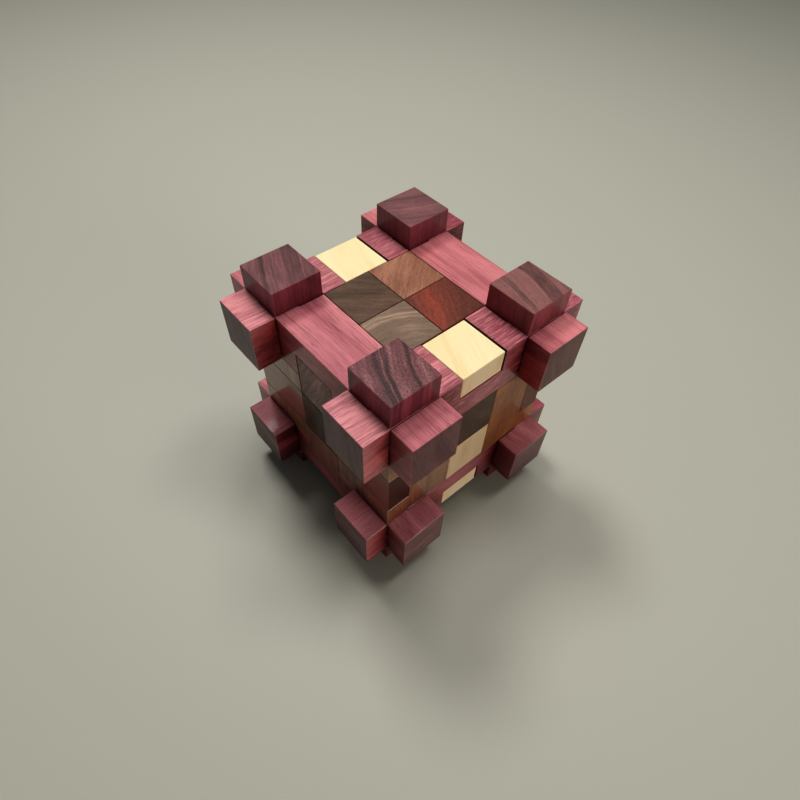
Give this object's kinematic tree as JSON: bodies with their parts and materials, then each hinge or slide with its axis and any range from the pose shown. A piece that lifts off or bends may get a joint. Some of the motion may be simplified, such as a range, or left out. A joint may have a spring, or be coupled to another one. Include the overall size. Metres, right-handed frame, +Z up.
{
  "type": "wooden burr puzzle",
  "caption": "Interlocking wooden burr puzzle: a cube of crossing sticks in mixed hardwoods whose square stick ends stand out at every corner; keys and pins slide out.",
  "frame": {"origin": "on the table, at the middle of the footprint, level with the ends of the four lower pin heads that it stands on", "axes": "+X to the right, +Y from front to back, +Z up; the three stick directions lie along the axes"},
  "size_m": [0.1266, 0.1266, 0.1265],
  "materials": {
    "purpleheart": "oiled and lacquered purpleheart, fine straight grain with short light flecks, satin gloss",
    "purpleheart_pin": "lacquered purpleheart, dark banded end grain on the head, satin gloss",
    "maple": "lacquered hard maple, pale cream with faint growth lines, satin gloss",
    "dark_walnut": "lacquered black walnut, dark brown with open pores, satin gloss",
    "grey_walnut": "lacquered grey-brown walnut with light streaks, satin gloss",
    "cherry": "lacquered cherry, warm brown with fine diagonal growth lines, satin gloss",
    "padauk": "lacquered padauk, red-orange to dark red brown, satin gloss",
    "iroko": "lacquered iroko, golden brown vertical grain with reddish streaks, satin gloss",
    "bubinga": "lacquered bubinga, reddish dark brown, satin gloss"
  },
  "bodies": {
    "locked_core": {"front_bottom_rail": "purpleheart", "back_bottom_rail": "purpleheart", "left_bottom_rail": "purpleheart", "right_bottom_rail": "purpleheart", "front_top_rail": "purpleheart", "back_top_rail": "purpleheart", "left_top_rail": "purpleheart", "right_top_rail": "purpleheart", "front_left_corner_block": "iroko", "front_right_corner_block": "iroko", "back_left_corner_block": "iroko", "back_right_corner_block": "iroko", "front_side_stick": "bubinga", "back_side_stick": "bubinga", "upper_cross_stick": "dark_walnut", "lower_cross_stick": "maple", "middle_through_stick": "dark_walnut", "lower_through_stick": "bubinga", "front_left_upright": "dark_walnut", "front_right_upright": "grey_walnut", "back_left_upright": "cherry", "back_right_upright": "padauk"},
    "key_stick": {"key_stick": "grey_walnut"},
    "left_bottom_key_block": {"left_bottom_key_block": "maple"},
    "left_top_key_block": {"left_top_key_block": "maple"},
    "right_bottom_key_block": {"right_bottom_key_block": "maple"},
    "right_top_key_block": {"right_top_key_block": "maple"},
    "front_left_bottom_pin": {"front_left_bottom_pin": "purpleheart_pin"},
    "front_left_top_pin": {"front_left_top_pin": "purpleheart_pin"},
    "front_right_bottom_pin": {"front_right_bottom_pin": "purpleheart_pin"},
    "front_right_top_pin": {"front_right_top_pin": "purpleheart_pin"},
    "back_left_bottom_pin": {"back_left_bottom_pin": "purpleheart_pin"},
    "back_left_top_pin": {"back_left_top_pin": "purpleheart_pin"},
    "back_right_bottom_pin": {"back_right_bottom_pin": "purpleheart_pin"},
    "back_right_top_pin": {"back_right_top_pin": "purpleheart_pin"}
  },
  "joints": [
    {"name": "key_stick_slide", "type": "slide", "parent": "locked_core", "child": "key_stick", "axis": [0, -1, 0], "range_m": [-0.08, 0.08]},
    {"name": "left_bottom_key_block_slide", "type": "slide", "parent": "locked_core", "child": "left_bottom_key_block", "axis": [-1, 0, 0], "range_m": [0, 0.02]},
    {"name": "left_top_key_block_slide", "type": "slide", "parent": "locked_core", "child": "left_top_key_block", "axis": [-1, 0, 0], "range_m": [0, 0.02]},
    {"name": "right_bottom_key_block_slide", "type": "slide", "parent": "locked_core", "child": "right_bottom_key_block", "axis": [1, 0, 0], "range_m": [0, 0.02]},
    {"name": "right_top_key_block_slide", "type": "slide", "parent": "locked_core", "child": "right_top_key_block", "axis": [1, 0, 0], "range_m": [0, 0.02]},
    {"name": "front_left_bottom_pin_pull", "type": "slide", "parent": "locked_core", "child": "front_left_bottom_pin", "axis": [0, 0, -1], "range_m": [0, 0.03]},
    {"name": "front_left_top_pin_pull", "type": "slide", "parent": "locked_core", "child": "front_left_top_pin", "axis": [0, 0, 1], "range_m": [0, 0.03]},
    {"name": "front_right_bottom_pin_pull", "type": "slide", "parent": "locked_core", "child": "front_right_bottom_pin", "axis": [0, 0, -1], "range_m": [0, 0.03]},
    {"name": "front_right_top_pin_pull", "type": "slide", "parent": "locked_core", "child": "front_right_top_pin", "axis": [0, 0, 1], "range_m": [0, 0.03]},
    {"name": "back_left_bottom_pin_pull", "type": "slide", "parent": "locked_core", "child": "back_left_bottom_pin", "axis": [0, 0, -1], "range_m": [0, 0.03]},
    {"name": "back_left_top_pin_pull", "type": "slide", "parent": "locked_core", "child": "back_left_top_pin", "axis": [0, 0, 1], "range_m": [0, 0.03]},
    {"name": "back_right_bottom_pin_pull", "type": "slide", "parent": "locked_core", "child": "back_right_bottom_pin", "axis": [0, 0, -1], "range_m": [0, 0.03]},
    {"name": "back_right_top_pin_pull", "type": "slide", "parent": "locked_core", "child": "back_right_top_pin", "axis": [0, 0, 1], "range_m": [0, 0.03]}
  ]
}
